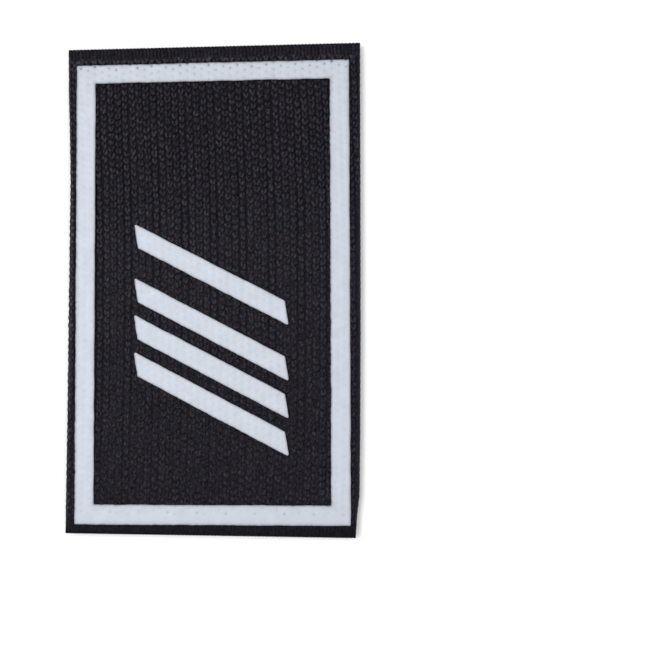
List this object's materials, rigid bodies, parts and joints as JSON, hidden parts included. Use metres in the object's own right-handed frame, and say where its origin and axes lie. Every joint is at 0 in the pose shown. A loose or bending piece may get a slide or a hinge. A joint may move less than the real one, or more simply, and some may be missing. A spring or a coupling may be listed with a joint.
{
  "type": "rank patch",
  "caption": "Rectangular woven rank patch with a reflective film border and slanted film stripes, and a hook back that presses onto a loop panel.",
  "frame": {"origin": "middle of the patch's outline, on the plane of the hook tips that it rests on", "axes": "+X to the right across the patch as its face is read, +Y up the patch, +Z out of its face"},
  "size_m": [0.0607, 0.1004, 0.0025],
  "materials": {
    "woven_tape": "matte woven nylon",
    "hooks": "nylon monofilament hooks",
    "film": "satin reflective heat-seal film"
  },
  "bodies": {
    "root": {"tape": "woven_tape", "hook_field": "hooks", "border": "film", "stripe_1": "film", "stripe_2": "film", "stripe_3": "film", "stripe_4": "film"}
  },
  "joints": []
}
